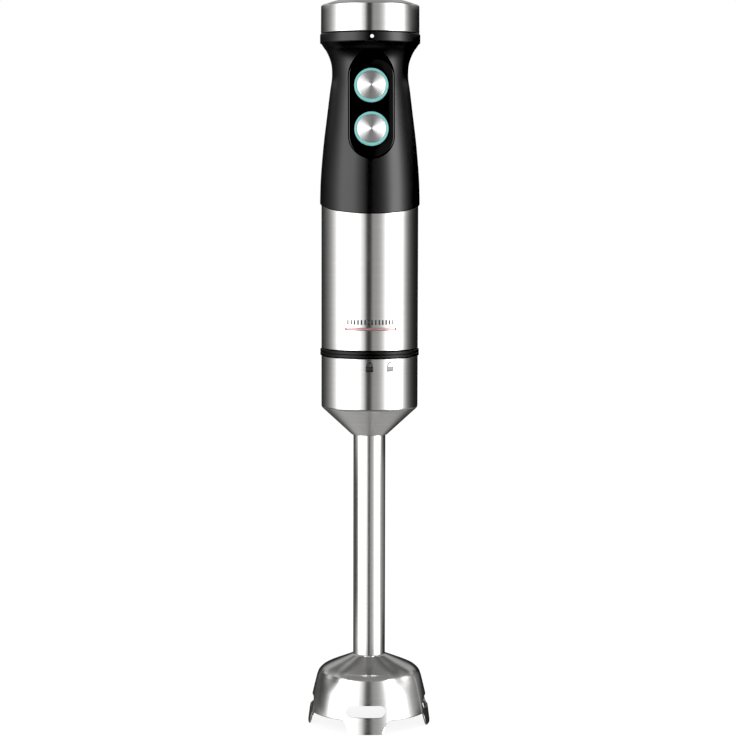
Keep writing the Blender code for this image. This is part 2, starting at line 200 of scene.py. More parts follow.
def cut(piece, cutters, operation="DIFFERENCE"):
    """Cuts a piece by others, or joins them to it, keeps the result as its mesh and removes the others."""
    for cutter in cutters:
        change = piece.modifiers.new(cutter.name, "BOOLEAN")
        change.operation = operation
        change.solver = "EXACT"
        change.object = cutter
    bpy.context.view_layer.update()
    graph = bpy.context.evaluated_depsgraph_get()
    mesh = bpy.data.meshes.new_from_object(piece.evaluated_get(graph))
    piece.modifiers.clear()
    piece.data = mesh
    for cutter in cutters:
        bpy.data.objects.remove(cutter)
    mesh.shade_smooth()
    mesh.set_sharp_from_angle(angle=math.radians(25))


def place(piece, matrix):
    """Moves a piece and hands it back."""
    piece.matrix_world = matrix
    return piece


def turn(angle):
    """A turn about the long axis."""
    return Matrix.Rotation(angle, 4, "Z")


# ---------------------------------------------------------------- materials

WORN_EDGES = (0.51, 0.6)     # pointiness at which wear begins, and at which it is full


class Paint:
    """A Principled material and short calls for the nodes that give it detail."""

    def __init__(self, name, colour, metallic=0.0, roughness=0.5, **sockets):
        self.made = bpy.data.materials.new(name)
        self.made.use_nodes = True
        self.tree = self.made.node_tree
        self.shader = self.tree.nodes["Principled BSDF"]
        self.put("Base Color", (*colour, 1.0))
        self.put("Metallic", metallic)
        self.put("Roughness", roughness)
        for socket, value in sockets.items():
            self.put(socket.replace("_", " "), value)
        self.coords = self.tree.nodes.new("ShaderNodeTexCoord").outputs["Object"]

    def put(self, socket, value):
        """Sets one input of the shader."""
        self.shader.inputs[socket].default_value = value

    def node(self, kind, inputs=None, **settings):
        """A new node with its settings, and with each input linked to an output or set to a value."""
        made = self.tree.nodes.new("ShaderNode" + kind)
        for setting, value in settings.items():
            setattr(made, setting, value)
        for socket, value in (inputs or {}).items():
            if isinstance(value, bpy.types.NodeSocket):
                self.tree.links.new(value, made.inputs[socket])
            else:
                made.inputs[socket].default_value = value
        return made

    def link(self, output, socket):
        """Links an output to one input of the shader."""
        self.tree.links.new(output, self.shader.inputs[socket])

    def stretched(self, scale):
        """Object coordinates, scaled along each axis."""
        return self.node("Mapping", {"Vector": self.coords, "Scale": scale}).outputs["Vector"]

    def noise(self, scale=(1, 1, 1), size=1.0, detail=3.0, rough=0.6):
        """Noise about 0.5. The larger the size value is, the finer it gets."""
        return self.node("TexNoise", {"Vector": self.stretched(scale), "Scale": size, "Detail": detail,
                                      "Roughness": rough}).outputs["Fac"]

    def spread(self, value, low, high, source=(0.3, 0.7)):
        """Maps the source range of a value onto low to high."""
        return self.node("MapRange", {"Value": value, "From Min": source[0], "From Max": source[1],
                                      "To Min": low, "To Max": high}).outputs["Result"]

    def mix(self, share, first, second):
        """A colour that goes from first to second."""
        made = self.node("Mix", data_type="RGBA")
        self.tree.links.new(share, made.inputs["Factor"])
        for socket, colour in zip([s for s in made.inputs if s.type == "RGBA"], (first, second)):
            socket.default_value = (*colour, 1.0)
        return next(s for s in made.outputs if s.type == "RGBA")

    def edges(self):
        """Share of wear: 0 on flat ground, 1 on sharp outer edges."""
        bend = self.node("NewGeometry").outputs["Pointiness"]
        return self.spread(bend, 0.0, 1.0, WORN_EDGES)

    def blend(self, share, first, second):
        """A number that goes from first to second; either may be an output."""
        made = self.node("Mix", data_type="FLOAT")
        self.tree.links.new(share, made.inputs["Factor"])
        for socket, value in zip([s for s in made.inputs if s.type == "VALUE"][1:], (first, second)):
            if isinstance(value, bpy.types.NodeSocket):
                self.tree.links.new(value, socket)
            else:
                socket.default_value = value
        return next(s for s in made.outputs if s.type == "VALUE")

    def bump(self, height, distance, strength=1.0):
        """Relief from a height, over a distance in metres."""
        made = self.node("Bump", {"Height": height, "Distance": distance, "Strength": strength})
        self.link(made.outputs["Normal"], "Normal")

    def tangent_round(self):
        """Sets the shading tangent to run round the object's own Z axis."""
        made = self.node("Tangent", direction_type="RADIAL", axis="Z")
        self.link(made.outputs["Tangent"], "Tangent")


def brushed_steel(name, tone=0.72, low=0.13, high=0.2, streak=(10, 10, 1400), anisotropic=0.55):
    """Steel brushed round its axis: fine streaks in tone, roughness and relief."""
    warm = (tone, tone * 0.992, tone * 0.975)
    dull = tuple(c * 0.9 for c in warm)
    paint = Paint(name, warm, 1.0, low, Anisotropic=anisotropic)
    lines = paint.noise(streak, 1.0, 4.0, 0.7)
    clouds = paint.noise((1, 1, 1), 35.0, 3.0)
    paint.link(paint.mix(paint.spread(lines, 0, 1), warm, dull), "Base Color")
    both = paint.node("Math", {0: lines, 1: clouds}, operation="MULTIPLY").outputs[0]
    ground = paint.spread(both, low, high, (0.12, 0.4))
    paint.link(paint.blend(paint.edges(), ground, low * 0.6), "Roughness")
    paint.bump(lines, 0.000004)
    paint.put("Anisotropic Rotation", 0.25)
    paint.tangent_round()
    return paint.made


def spun_steel(name):
    """Turned steel: fine rings about the local Z axis, so that highlights open out like a fan."""
    paint = Paint(name, (0.9, 0.9, 0.9), 1.0, 0.45, Anisotropic=0.95)
    split = paint.node("SeparateXYZ", {"Vector": paint.coords})
    flat = paint.node("CombineXYZ", {"X": split.outputs["X"], "Y": split.outputs["Y"]})
    radius = paint.node("VectorMath", {0: flat.outputs[0]}, operation="LENGTH").outputs["Value"]
    noise = paint.node("TexNoise", {"W": radius, "Scale": 6000.0, "Detail": 2.0}, noise_dimensions="1D")
    rings = noise.outputs["Fac"]
    paint.link(paint.mix(paint.spread(rings, 0, 1), (0.92, 0.92, 0.92), (0.78, 0.78, 0.78)), "Base Color")
    paint.link(paint.spread(rings, 0.42, 0.5), "Roughness")
    paint.bump(rings, 0.000002)
    paint.put("Anisotropic Rotation", 0.25)
    paint.tangent_round()
    return paint.made


def grained(name, colour, roughness, grain, relief, drift=0.06, worn=None, **sockets):
    """Moulded plastic or rubber: a fine grain in the relief and slow drifts in gloss and tone."""
    paint = Paint(name, colour, 0.0, roughness, **sockets)
    fine = paint.noise(size=grain, detail=2.0)
    slow = paint.noise(size=28.0, detail=4.0)
    ground = paint.spread(slow, roughness - drift, roughness + drift)
    paint.link(paint.blend(paint.edges(), ground, roughness * 0.7), "Roughness")
    lighter = worn or tuple(min(1.0, c * 1.5 + 0.002) for c in colour)
    paint.link(paint.mix(paint.spread(slow, 0, 1, (0.35, 0.8)), colour, lighter), "Base Color")
    paint.bump(fine, relief, 0.6)
    return paint.made


def banded(name, first, second, metallic, roughness, pitch):
    """Even bands, such as laminations, commutator bars or laid wire."""
    paint = Paint(name, first, metallic, roughness)
    wave = paint.node("TexWave", {"Vector": paint.coords, "Scale": pitch, "Distortion": 0.3, "Detail": 2.0},
                      bands_direction="Z")
    height = wave.outputs["Fac"]
    slow = paint.noise(size=60.0)
    paint.link(paint.mix(height, second, first), "Base Color")
    paint.link(paint.spread(slow, roughness - 0.08, roughness + 0.1), "Roughness")
    paint.bump(height, 0.00008)
    return paint.made


def lit_ring(name):
    """Milky light guide, lit pale cyan from inside and a little brighter in places."""
    paint = Paint(name, (0.03, 0.12, 0.12), 0.0, 0.3, Emission_Strength=1.0)
    glow = paint.noise(size=220.0, detail=2.0)
    colour = paint.mix(paint.spread(glow, 0, 1), (0.16, 0.40, 0.39), (0.22, 0.47, 0.44))
    paint.link(colour, "Emission Color")
    paint.link(paint.spread(glow, 0.22, 0.36), "Roughness")
    paint.bump(glow, 0.00003, 0.4)
    return paint.made


def circuit(name):
    """Green solder mask with raised tracks and pale pads."""
    paint = Paint(name, (0.015, 0.13, 0.06), 0.0, 0.35)
    look = {"Vector": paint.stretched((1, 1, 1)), "Scale": 160.0, "Mortar Size": 0.03,
            "Color1": (0.01, 0.10, 0.045, 1), "Color2": (0.02, 0.16, 0.07, 1), "Mortar": (0.05, 0.3, 0.12, 1)}
    tracks = paint.node("TexBrick", look)
    paint.link(tracks.outputs["Color"], "Base Color")
    paint.bump(tracks.outputs["Fac"], 0.00005)
    return paint.made


def plain_print(name, colour, metal=0.0):
    """Thin printed mark, a little uneven. At metal 1 it is a lacquer that only tints the steel's sheen."""
    paint = Paint(name, colour, metal, 0.45 - 0.15 * metal)
    speck = paint.noise(size=1800.0)
    paint.link(paint.mix(paint.spread(speck, 0, 1), colour, tuple(c * 0.8 for c in colour)), "Base Color")
    return paint.made


STEEL = brushed_steel("housing_steel")
TUBE_STEEL = brushed_steel("tube_steel", 0.74, 0.17, 0.24, (14, 14, 900), 0.4)
SATIN_STEEL = brushed_steel("satin_steel", 0.74, 0.26, 0.34, (12, 12, 900), 0.3)
SHOULDER_STEEL = brushed_steel("shoulder_steel", 0.74, 0.16, 0.22, (12, 12, 900), 0.3)
DIAL_STEEL = brushed_steel("dial_steel", 0.74, 0.12, 0.2, (12, 12, 2200), 0.6)
SPUN_STEEL = spun_steel("spun_steel")
BLADE_STEEL = brushed_steel("blade_steel", 0.66, 0.16, 0.28, (900, 60, 60), 0.4)
GRIP_BLACK = grained("grip_black", (0.0018, 0.0018, 0.0019), 0.25, 2600, 0.000012, 0.03,
                     (0.003, 0.003, 0.003))
GLOSS_BLACK = grained("gloss_black", (0.0008, 0.0008, 0.0009), 0.10, 900, 0.0000005, 0.03,
                      (0.0014, 0.0014, 0.0014))
RUBBER = grained("rubber_black", (0.0015, 0.0015, 0.0015), 0.36, 1800, 0.00002, 0.04,
                 (0.0025, 0.0025, 0.0025), Specular_IOR_Level=0.3)
INNER = grained("inner_plastic", (0.045, 0.045, 0.048), 0.5, 1500, 0.00002)
PALE = grained("pale_plastic", (0.72, 0.72, 0.68), 0.4, 1500, 0.00002, 0.05, (0.66, 0.65, 0.6))
INDEX = grained("index_white", (0.85, 0.85, 0.84), 0.3, 1500, 0.00001, 0.05, (0.8, 0.8, 0.78))
LIGHT = lit_ring("light_ring")
MOTOR_STEEL = banded("motor_steel", (0.46, 0.46, 0.45), (0.3, 0.3, 0.3), 1.0, 0.4, 320.0)
COPPER = banded("copper_wire", (0.75, 0.34, 0.16), (0.42, 0.17, 0.08), 1.0, 0.34, 520.0)
# As pale as steel, not yellow
BRASS = brushed_steel("brass", 0.7, 0.25, 0.38, (40, 40, 1200), 0.3)
CARBON = grained("carbon", (0.03, 0.03, 0.03), 0.7, 4000, 0.00004)
BOARD = circuit("board_green")
RED_PRINT = plain_print("red_print", (0.86, 0.5, 0.5), 1.0)
DARK_PRINT = plain_print("dark_print", (0.012, 0.012, 0.014))
PALE_PRINT = plain_print("pale_print", (0.4, 0.4, 0.4))
SLOT_LOOKS = {
    "dial_steel": DIAL_STEEL, "housing_steel": STEEL, "shaft_steel": TUBE_STEEL, "button_steel": SPUN_STEEL,
    "blade_steel": BLADE_STEEL, "soft_black": GRIP_BLACK, "gloss_black": GLOSS_BLACK, "light_ring": LIGHT,
    "index_white": INDEX, "rubber_black": RUBBER, "inner_plastic": INNER, "pale_plastic": PALE,
    "motor_steel": MOTOR_STEEL, "copper": COPPER, "brass": BRASS, "carbon": CARBON, "board_green": BOARD,
}


SLOPE_STARTS = 0.35        # a face with more of its normal along Z than this is a slope


def settle(piece, look, body, slot, *nodes, slopes=None):
    """Gives a piece its material and body, and lets it stand for CAD nodes. The slot is not used. Slopes may
    differ.
    """
    piece.data.materials.clear()
    piece.data.materials.append(look)
    if slopes:
        piece.data.materials.append(slopes)
        for face in piece.data.polygons:
            face.material_index = int(SLOPE_STARTS < abs(face.normal.z))
    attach(piece, body)
    if nodes:
        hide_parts(*nodes)
    return piece


# ---------------------------------------------------------------- foot, tube and coupling

LOBES = 4
BELL_TURN = math.radians(-5.5)    # the front lobe is turned this far from straight ahead
BELL_RIM = 33.45
BELL_SHEET = 1.0
BELL_STEPS = 360
SCALLOP = (15.5, 22.0)     # between these angles from a lobe's middle, in degrees, the rim rises
SCALLOP_RISE = 7.0
CREASE_WIDTH = 13          # degrees
CREASE_DEPTH = 0.05        # share of the radius
CREASE_FADE = (20, 28)     # heights over which the crease comes in
PRESSED = (23.2, 24.6)     # between these angles the wall steps in beside a lobe
PRESSED_DEPTH = 0.22
SHOULDER_EDGE = 28.5
SLOT_HEIGHT = 12.0
SLOT_WIDTH = 6.4
SLOT_LENGTH = 21.4


def lobe_offset(angle):
    """Angle from the nearest lobe's middle, in degrees."""
    pitch = 360 / LOBES
    return (math.degrees(angle) + pitch / 2) % pitch - pitch / 2


def bell_point(radius, height, angle, wall_at):
    """A point of the bell: creased shoulder between lobes, lobes pressed out, rim scalloped between them."""
    off = abs(lobe_offset(angle))
    crease = math.exp(-((180 / LOBES - off) / CREASE_WIDTH) ** 2)
    lift = SCALLOP_RISE * ease(off, *SCALLOP) * max(0.0, 1 - height / SLOT_HEIGHT)
    r = radius + wall_at(height + lift) - wall_at(height)
    start, end = CREASE_FADE
    r *= 1 - CREASE_DEPTH * crease * min(1.0, max(0.0, height - start) / (end - start))
    r -= PRESSED_DEPTH * ease(off, *PRESSED) * ease(SHOULDER_EDGE - height, 0, 2)
    angle += BELL_TURN
    return r * math.cos(angle), r * math.sin(angle), height + lift


def bell_guard():
    """The foot: a sheet bell with four lobes, a slot in each, and a slightly bevelled rim."""
    low, high = box("bell_guard")
    top = high.z
    outer = spline([(9.0, top), (14.8, 35.1), (20, 33.0), (24.6, 30.8), (27.2, 28.5), (28.2, 26.4),
                    (28.9, 24), (30.7, 16.5), (32.1, 10), (32.8, 5), (BELL_RIM, low.z)], 5)
    wall = sorted((z, r) for r, z in outer)

    def wall_at(height):
        """Radius of the plain bell at a height."""
        return np.interp(height, *zip(*wall))

    inner = [(r - BELL_SHEET, z - min(1.0, max(0.0, z - 26) / 3)) for r, z in reversed(outer)]
    rim = [(BELL_RIM - 0.15, low.z), (BELL_RIM - 0.85, low.z)]
    path = outer[:-1] + rim + inner[1:] + [(8.0, top)]
    angles = [2 * math.pi * k / BELL_STEPS for k in range(BELL_STEPS)]
    verts = [bell_point(radius, height, angle, wall_at) for radius, height in path for angle in angles]
    bell = finished("blade_guard", verts, turned_faces(len(path), BELL_STEPS), 45)
    slots = []
    for lobe in range(LOBES):
        side = turn(BELL_TURN + lobe * 2 * math.pi / LOBES) @ Matrix.Translation((0, 0, SLOT_HEIGHT * MM))
        side = side @ Matrix.Rotation(math.radians(90), 4, "X") @ turn(math.pi / 2)
        slots.append(place(prism(f"slot_{lobe}", pill(SLOT_WIDTH, SLOT_LENGTH, 16), 24, 40), side))
    cut(bell, slots)
    settle(bell, TUBE_STEEL, "blending_shaft", "shaft_steel", "bell_guard", slopes=SHOULDER_STEEL)


def bearing_hub():
    """Plastic hub under the bell, with a lipped seal round the drive rod."""
    low, high = box("bearing_carrier")
    r = high.x
    path = fillet([(7.5, high.z, 0), (7.5, 36.0, 1.0), (r, 34.4, 0.4), (r, 31.0, 0.8), (9.5, low.z, 0.8),
                   (7.6, low.z, 0.2), (7.2, low.z + 0.9, 0.2), (5.6, low.z + 0.9, 0.2), (5.2, low.z, 0.2),
                   (4.6, low.z, 0.2), (4.6, high.z, 0)])
    hub = settle(lathe("bearing_hub", subdivide(path, 6), 96), INNER, "blending_shaft", "inner_plastic",
                 "bearing_carrier")
    hub.visible_glossy = False
    low, high = box("shaft_seal")
    path = fillet([(4.3, high.z, 0), (4.3, low.z, 0.4), (3.6, low.z, 0.2), (3.3, low.z + 0.7, 0.2),
                   (2.9, low.z + 0.1, 0.05), (2.75, low.z + 0.1, 0.05), (2.75, high.z, 0)])
    settle(lathe("lip_seal", path, 64), RUBBER, "blending_shaft", "rubber_black", "shaft_seal")


HUB_LOW = 13.7
HUB_HIGH = 15.9
HUB_R = 5.2
ROD_R = 2.8                # bore of what sits on the drive rod
WING_LIFTS = (12, -9)      # degrees: one wing is swept up and the other down
WING_HALF = 0.6            # half its thickness


def blade():
    """Two ground wings on a hub."""
    hub = lathe("cutting_blade", fillet([(HUB_R, HUB_HIGH, 0.3), (HUB_R, HUB_LOW, 0.3), (ROD_R, HUB_LOW, 0.1),
                                         (ROD_R, HUB_HIGH, 0.1)]), 96)
    outline = fillet([(3.4, -3.0, 0), (11, -4.2, 9), (18.5, -2.6, 4), (20.6, 1.6, 1.2), (12, 2.6, 9),
                      (3.4, 3.0, 0)])
    wings = []
    for side, lift in enumerate(WING_LIFTS):
        spot = turn(math.pi * side + 0.4) @ Matrix.Translation((0, 0, (HUB_LOW + HUB_HIGH) / 2 * MM))
        spot = spot @ Matrix.Rotation(math.radians(-lift), 4, "Y")
        wing = prism(f"wing_{side}", subdivide(outline, 1.5), -WING_HALF, WING_HALF, 0.75, 1)
        wings.append(place(wing, spot))
    cut(hub, wings, "UNION")
    settle(hub, BLADE_STEEL, "blade_shaft", "blade_steel", "blade")


def blade_collar():
    """Collar above the blade, with a groove round it."""
    low, high = box("blade_collar")
    r = high.x
    path = fillet([(r, high.z, 0.4), (r, low.z + 3.4, 0.1), (r - 0.4, low.z + 3.1, 0.1),
                   (r - 0.4, low.z + 2.5, 0.1), (r, low.z + 2.2, 0.1), (r, low.z, 0.3), (ROD_R, low.z, 0),
                   (ROD_R, high.z, 0)])
    settle(lathe("collar", path, 64), STEEL, "blade_shaft", "blade_steel", "blade_collar")


def blade_nut():
    """Cap nut under the blade: a hexagon with a dome, built upwards and turned over."""
    low, high = box("blade_nut")
    upside_down = Matrix.Translation((0, 0, high.z * MM)) @ Matrix.Rotation(math.pi, 4, "X")
    depth = high.z - low.z
    hexagon = [(4.4 * math.cos(math.pi * k / 3), 4.4 * math.sin(math.pi * k / 3)) for k in range(6)]
    nut = prism("cap_nut", subdivide(hexagon, 1.2), 0, depth - 1.3, 0.3)
    dome = fillet([(0, depth, 0), (1.6, depth - 0.1, 1.5), (3.1, depth - 0.8, 1.2), (3.4, 0.8, 0)])
    cap = lathe("dome", dome + [(0, 0.8)], 48, ring=False)
    cut(nut, [cap], "UNION")
    settle(place(nut, upside_down), BLADE_STEEL, "blade_shaft", "blade_steel", "blade_nut")


def tube():
    """The long tube. Reflections don't see it, but see the tube flag and what is inside the tube."""
    low, high = box("shaft_tube")
    path = fillet([(high.x, high.z, 0.2), (high.x, low.z, 0.2), (high.x - 0.8, low.z, 0),
                   (high.x - 0.8, high.z, 0)])
    shown = settle(lathe("tube", subdivide(path, 12), 96), TUBE_STEEL, "blending_shaft", "shaft_steel",
                   "shaft_tube")
    shown.visible_glossy = False


def coupling():
    """Lower half of the housing, with its cone down to the tube."""
    low, high = box("coupling_housing")
    tube_r = box("shaft_tube")[1].x
    r = high.x
    corner = low.z + 15.2
    path = fillet([(r, high.z, 0.3), (r, corner, 2.2), (tube_r + 0.9, low.z, 0.5), (tube_r + 0.3, low.z, 0),
                   (tube_r + 0.3, low.z + 1.5, 0), (r - 1.4, corner + 0.3, 0), (r - 0.6, corner + 1.5, 0),
                   (r - 0.6, high.z, 0)])
    settle(lathe("coupling_shell", subdivide(path, 3), 192), STEEL, "blending_shaft", "housing_steel",
           "coupling_housing", slopes=SATIN_STEEL)


def gasket():
    """Rubber ring between the halves of the housing, with a groove round its middle."""
    low, high = box("gasket_ring")
    r = high.x
    middle = (low.z + high.z) / 2
    path = fillet([(r, high.z, 0.5), (r, middle + 0.25, 0.1), (r - 0.25, middle, 0.1),
                   (r, middle - 0.25, 0.1), (r, low.z, 0.5), (r - 6, low.z, 0), (r - 6, high.z, 0)])
    settle(lathe("rubber_ring", path, 160), RUBBER, "motor_unit", "rubber_black", "gasket_ring")


def seam_height():
    """Height of the steel housing's upper edge on the axis: its box ends at the edge's highest point."""
    high = box("motor_housing")[1]
    return high.z - high.x * SEAM_SLOPE


def motor_shell():
    """Upper half of the housing, cut off at a slant along the seam."""
    low, high = box("motor_housing")
    r = high.x
    seam = seam_height()

    def warp(_, y, z):
        """Slants the upper edge, and the rest of the shell less and less downwards."""
        return z + y * SEAM_SLOPE * max(0.0, (z - low.z) / (seam - low.z))

    path = fillet([(r, seam, 0.15), (r, low.z, 0.25), (r - 0.6, low.z, 0), (r - 0.6, seam, 0)])
    settle(lathe("motor_shell", subdivide(path, 4), 192, warp), STEEL, "motor_unit", "housing_steel",
           "motor_housing")


# ---------------------------------------------------------------- grip, panel and dial

def press_direction():
    """The way a button goes in, as its joint has it."""
    joint = next(j for j in frame["joints"] if j["name"] == "button_upper_press")
    return Vector(joint["axis"]).normalized()


OUTWARD = -press_direction()
UPWARD = Vector((1, 0, 0)).cross(OUTWARD) * -1
RING_MIDDLE = 0.4        # the light ring's middle lies this far under the panel's face


def facing(point):
    """Frame with its origin at a point in millimetres, local Z out of the panel and local Y up along it."""
    columns = Matrix((Vector((1, 0, 0)), UPWARD, OUTWARD)).transposed().to_4x4()
    return Matrix.Translation(Vector(point) * MM) @ columns


def button_centre(name):
    """Middle of a button, on the panel's face."""
    low, high = box(f"light_ring_{name}")
    return (low + high) / 2 + OUTWARD * RING_MIDDLE


PANEL_LENGTH = 56.4
PANEL_WIDTH = box("control_panel")[1].x * 2
PANEL_ROOM = 0.5           # the opening in the grip is this much larger
BUTTON_HOLE = 18.5
HAIR = 0.0001              # a pill must be longer than wide, or two of its points fall together


def panel_centre():
    """Middle of the panel: its upper end lies at the top of its CAD node."""
    top = box("control_panel")[1].z
    upper = button_centre("upper")
    return upper + UPWARD * ((top - upper.z) / UPWARD.z - PANEL_LENGTH / 2)


def grip():
    """Collar, waist and body of the handle in one, with an opening for the panel."""
    high = box("handle_grip")[1]
    seam = seam_height() + 0.3
    r = high.x
    neck = spline([(25.9, 367.9), (24.9, 366.4), (23.3, 364.1), (21.5, 360), (20.6, 356), (20.5, 350),
                   (21.5, 343), (23.1, 330), (24.7, 317), (25.85, 305), (26.55, 295), (r - 0.05, 287)], 8)
    collar = fillet([(25.2, high.z, 0), (r, high.z, 0.45), (r, 368.8, 0.2), (26.3, 368.3, 0.1)])
    foot = fillet([(r, 283.6, 0), (r, seam, 0.35), (25.2, seam, 0)])
    inner = [(25.2, 287), (24.25, 305), (21.5, 330), (19.8, 343), (18.8, 350), (18.8, 356.4), (21.3, 364.3),
             (25.2, 369.4), (25.2, high.z)]

    def warp(_, y, z):
        """Slants the lower edge, and the grip above it less and less upwards."""
        return z + y * SEAM_SLOPE * min(1.0, max(0.0, 1 - (z - seam) / 25))

    path = collar[1:] + neck + foot + inner
    handle = lathe("grip", path, 224, warp)
    opening = prism("opening", pill(PANEL_WIDTH + PANEL_ROOM, PANEL_LENGTH + PANEL_ROOM), -3.2, 14)
    cut(handle, [place(opening, facing(panel_centre()))])
    settle(handle, GRIP_BLACK, "motor_unit", "soft_black", "handle_grip")


def panel():
    """Gloss plate with a hole for each ring and button."""
    plate = prism("button_panel", pill(PANEL_WIDTH, PANEL_LENGTH), -2.4, 0.05, 0.8)
    place(plate, facing(panel_centre()))
    holes = []
    for name in ("upper", "lower"):
        hole = prism(f"hole_{name}", pill(BUTTON_HOLE, BUTTON_HOLE + HAIR), -5, 5)
        holes.append(place(hole, facing(button_centre(name))))
    cut(plate, holes)
    settle(plate, GLOSS_BLACK, "motor_unit", "gloss_black", "control_panel")


RING_OUTER = 9.0
RING_INNER = 7.85
BUTTON_R = 7.58
FLANGE_R = 8.8             # the flange that keeps a button in


def controls():
    """The lit rings and the dished buttons in them."""
    for name in ("upper", "lower"):
        where = facing(button_centre(name))
        ring = lathe(f"lit_ring_{name}", fillet([(RING_OUTER, 0.9, 0.6), (RING_OUTER, -1.7, 0),
                                                 (RING_INNER, -1.7, 0), (RING_INNER, 0.9, 0.45)]), 96)
        settle(place(ring, where), LIGHT, "motor_unit", "light_ring", f"light_ring_{name}")
        dish = [(r, 1.34 + 0.12 * (r / 6.9) ** 2) for r in (0, 1.5, 3, 4.5, 6)]
        edge = fillet([(7.1, 1.48, 0), (7.4, 1.46, 0.12), (BUTTON_R, 1.25, 0.12), (BUTTON_R, -2.0, 0),
                       (FLANGE_R, -2.0, 0), (FLANGE_R, -3.0, 0), (2.0, -3.0, 0), (2.0, -6.0, 0)])
        cap = lathe(f"push_button_{name}", dish + edge + [(0, -6.0)], 96, ring=False)
        settle(place(cap, where), SPUN_STEEL, f"{name}_button", "button_steel", f"button_{name}")


def index_mark():
    """White dot on the collar."""
    low, high = box("index_light")
    centre = (low + high) / 2
    face = -low.y
    crown = [(0, face + 0.06), (0.5, face + 0.04), (0.85, face - 0.05), (1.05, face - 0.25)]
    mark = lathe("index_mark", crown + [(1.05, face - 1.9), (0, face - 1.9)], 32, ring=False)
    place(mark, Matrix.Translation((0, 0, centre.z * MM)) @ Matrix.Rotation(math.radians(90), 4, "X"))
    settle(mark, INDEX, "motor_unit", "index_white", "index_light")


DIAL_HOLE = 7.2
DIAL_RISE = 3.5            # height of the dome above the cap's edge
DIAL_SHEET = 1.5
DOME_R = 24.4


def dial():
    """The speed dial's cap: a shallow dome with a hole for the gland."""
    low, high = box("speed_dial_cap")
    r = high.x
    edge = high.z - DIAL_RISE
    dome = []
    for x in (8.2, 11, 14, 17, 20, 22.5):
        share = (x - DIAL_HOLE) / (DOME_R - DIAL_HOLE)
        dome.append((x, edge + DIAL_RISE * (1 - share ** 2)))
    side = fillet([(24.6, edge, 0), (r - 0.1, edge - 0.35, 1.6), (r, low.z, 0.35), (r - DIAL_SHEET, low.z, 0),
                   (r - DIAL_SHEET, edge - 2, 0)])
    under = [(x, z - DIAL_SHEET) for x, z in reversed(dome)]
    path = [(DIAL_HOLE + 0.25, high.z)] + dome + side + under
    path += [(DIAL_HOLE, high.z - 1.6), (DIAL_HOLE, high.z - 0.25)]
    settle(lathe("dial", subdivide(path, 3), 192), DIAL_STEEL, "speed_dial", "dial_steel", "speed_dial_cap")


def gland():
    """Ribbed rubber gland that the cord goes in through."""
    low, high = box("cord_gland")
    top = high.z
    corners = [(5.2, top, 0.3), (5.5, top - 1.1, 0.2)]
    for rib in range(3):
        z = top - 1.4 - rib * 1.2
        corners += [(5.95, z, 0.15), (5.95, z - 0.6, 0.15), (5.45, z - 0.8, 0.1)]
    corners += [(6.5, top - 5.4, 0), (4.0, top - 5.4, 0), (4.0, low.z, 0), (3.4, low.z, 0), (3.4, top, 0.3)]
    settle(lathe("cord_gland_boot", fillet(corners), 72), RUBBER, "motor_unit", "rubber_black", "cord_gland")


# ---------------------------------------------------------------- printed marks

def ribbon(points, width):
    """The points on the left and on the right of a flat line, half its width away."""
    left, right = [], []
    for k, point in enumerate(points):
        a = Vector(points[max(0, k - 1)])
        b = Vector(points[min(len(points) - 1, k + 1)])
        side = (b - a).normalized()
        normal = Vector((-side.y, side.x)) * width / 2
        left.append(tuple(Vector(point) + normal))
        right.append(tuple(Vector(point) - normal))
    return left, right


def printed(name, lines, radius, height, angle, look, body, slot):
    """Marks on a cylinder: each line is (points, width) in flat millimetres about the mark's centre."""
    verts, faces = [], []
    skin = radius + 0.03
    for points, width in lines:
        left, right = ribbon(points, width)
        first = len(verts)
        for pair in zip(left, right):
            for u, v in pair:
                turned = angle + u / radius
                verts.append((skin * math.sin(turned), -skin * math.cos(turned), height + v))
        for k in range(len(points) - 1):
            a = first + 2 * k
            faces.append((a, a + 1, a + 3, a + 2))
    mark = finished(name, verts, faces, 60)
    shell = mark.modifiers.new("Thickness", "SOLIDIFY")
    shell.thickness = 0.06 * MM
    shell.offset = 0.0
    settle(mark, look, body, slot)


def straight(start, end, parts):
    """Points along a straight line, in even parts."""
    return [tuple(Vector(start).lerp(Vector(end), i / parts)) for i in range(parts + 1)]


def lock_mark(open_angle):
    """A padlock: a body and a shackle. Unless the angle is 0, the shackle ends there, short of the body."""
    body = [(straight((-2.0, -1.0), (2.0, -1.0), 6), 2.7)]
    shackle = [(1.35 * math.cos(a), 1.2 + 1.4 * math.sin(a)) for a in np.linspace(math.pi, open_angle, 12)]
    leg = [] if open_angle else [(1.35, 0.2)]
    return body + [([(-1.35, 0.2), *shackle, *leg], 0.75)]


LINE_HEIGHT = 217.0
BARS_HEIGHT = 220.6
LOCKS_HEIGHT = 196.6
# Name, angle at which the shackle ends, place round the coupling in degrees, print
LOCKS = (("lock_closed", 0.0, -2.2, DARK_PRINT), ("lock_open", 0.9, 22.8, PALE_PRINT))


def marks():
    """A red line with plain bars above it on the housing, and two padlocks on the coupling."""
    r = box("motor_housing")[1].x
    line = [(straight((-14.6, 0), (14.0, 0), 24), 1.5)]
    printed("accent_line", line, r, LINE_HEIGHT, 0, RED_PRINT, "motor_unit", "housing_steel")
    bars = [(straight((x, -1.25), (x, 1.25), 1), 0.8) for x in np.arange(-12.9, 12.0, 1.9)]
    printed("grade_bars", bars, r, BARS_HEIGHT, 0, DARK_PRINT, "motor_unit", "housing_steel")
    r = box("coupling_housing")[1].x
    for name, open_angle, angle, look in LOCKS:
        printed(name, lock_mark(open_angle), r, LOCKS_HEIGHT, math.radians(angle), look, "blending_shaft",
                "housing_steel")


# ---------------------------------------------------------------- studio

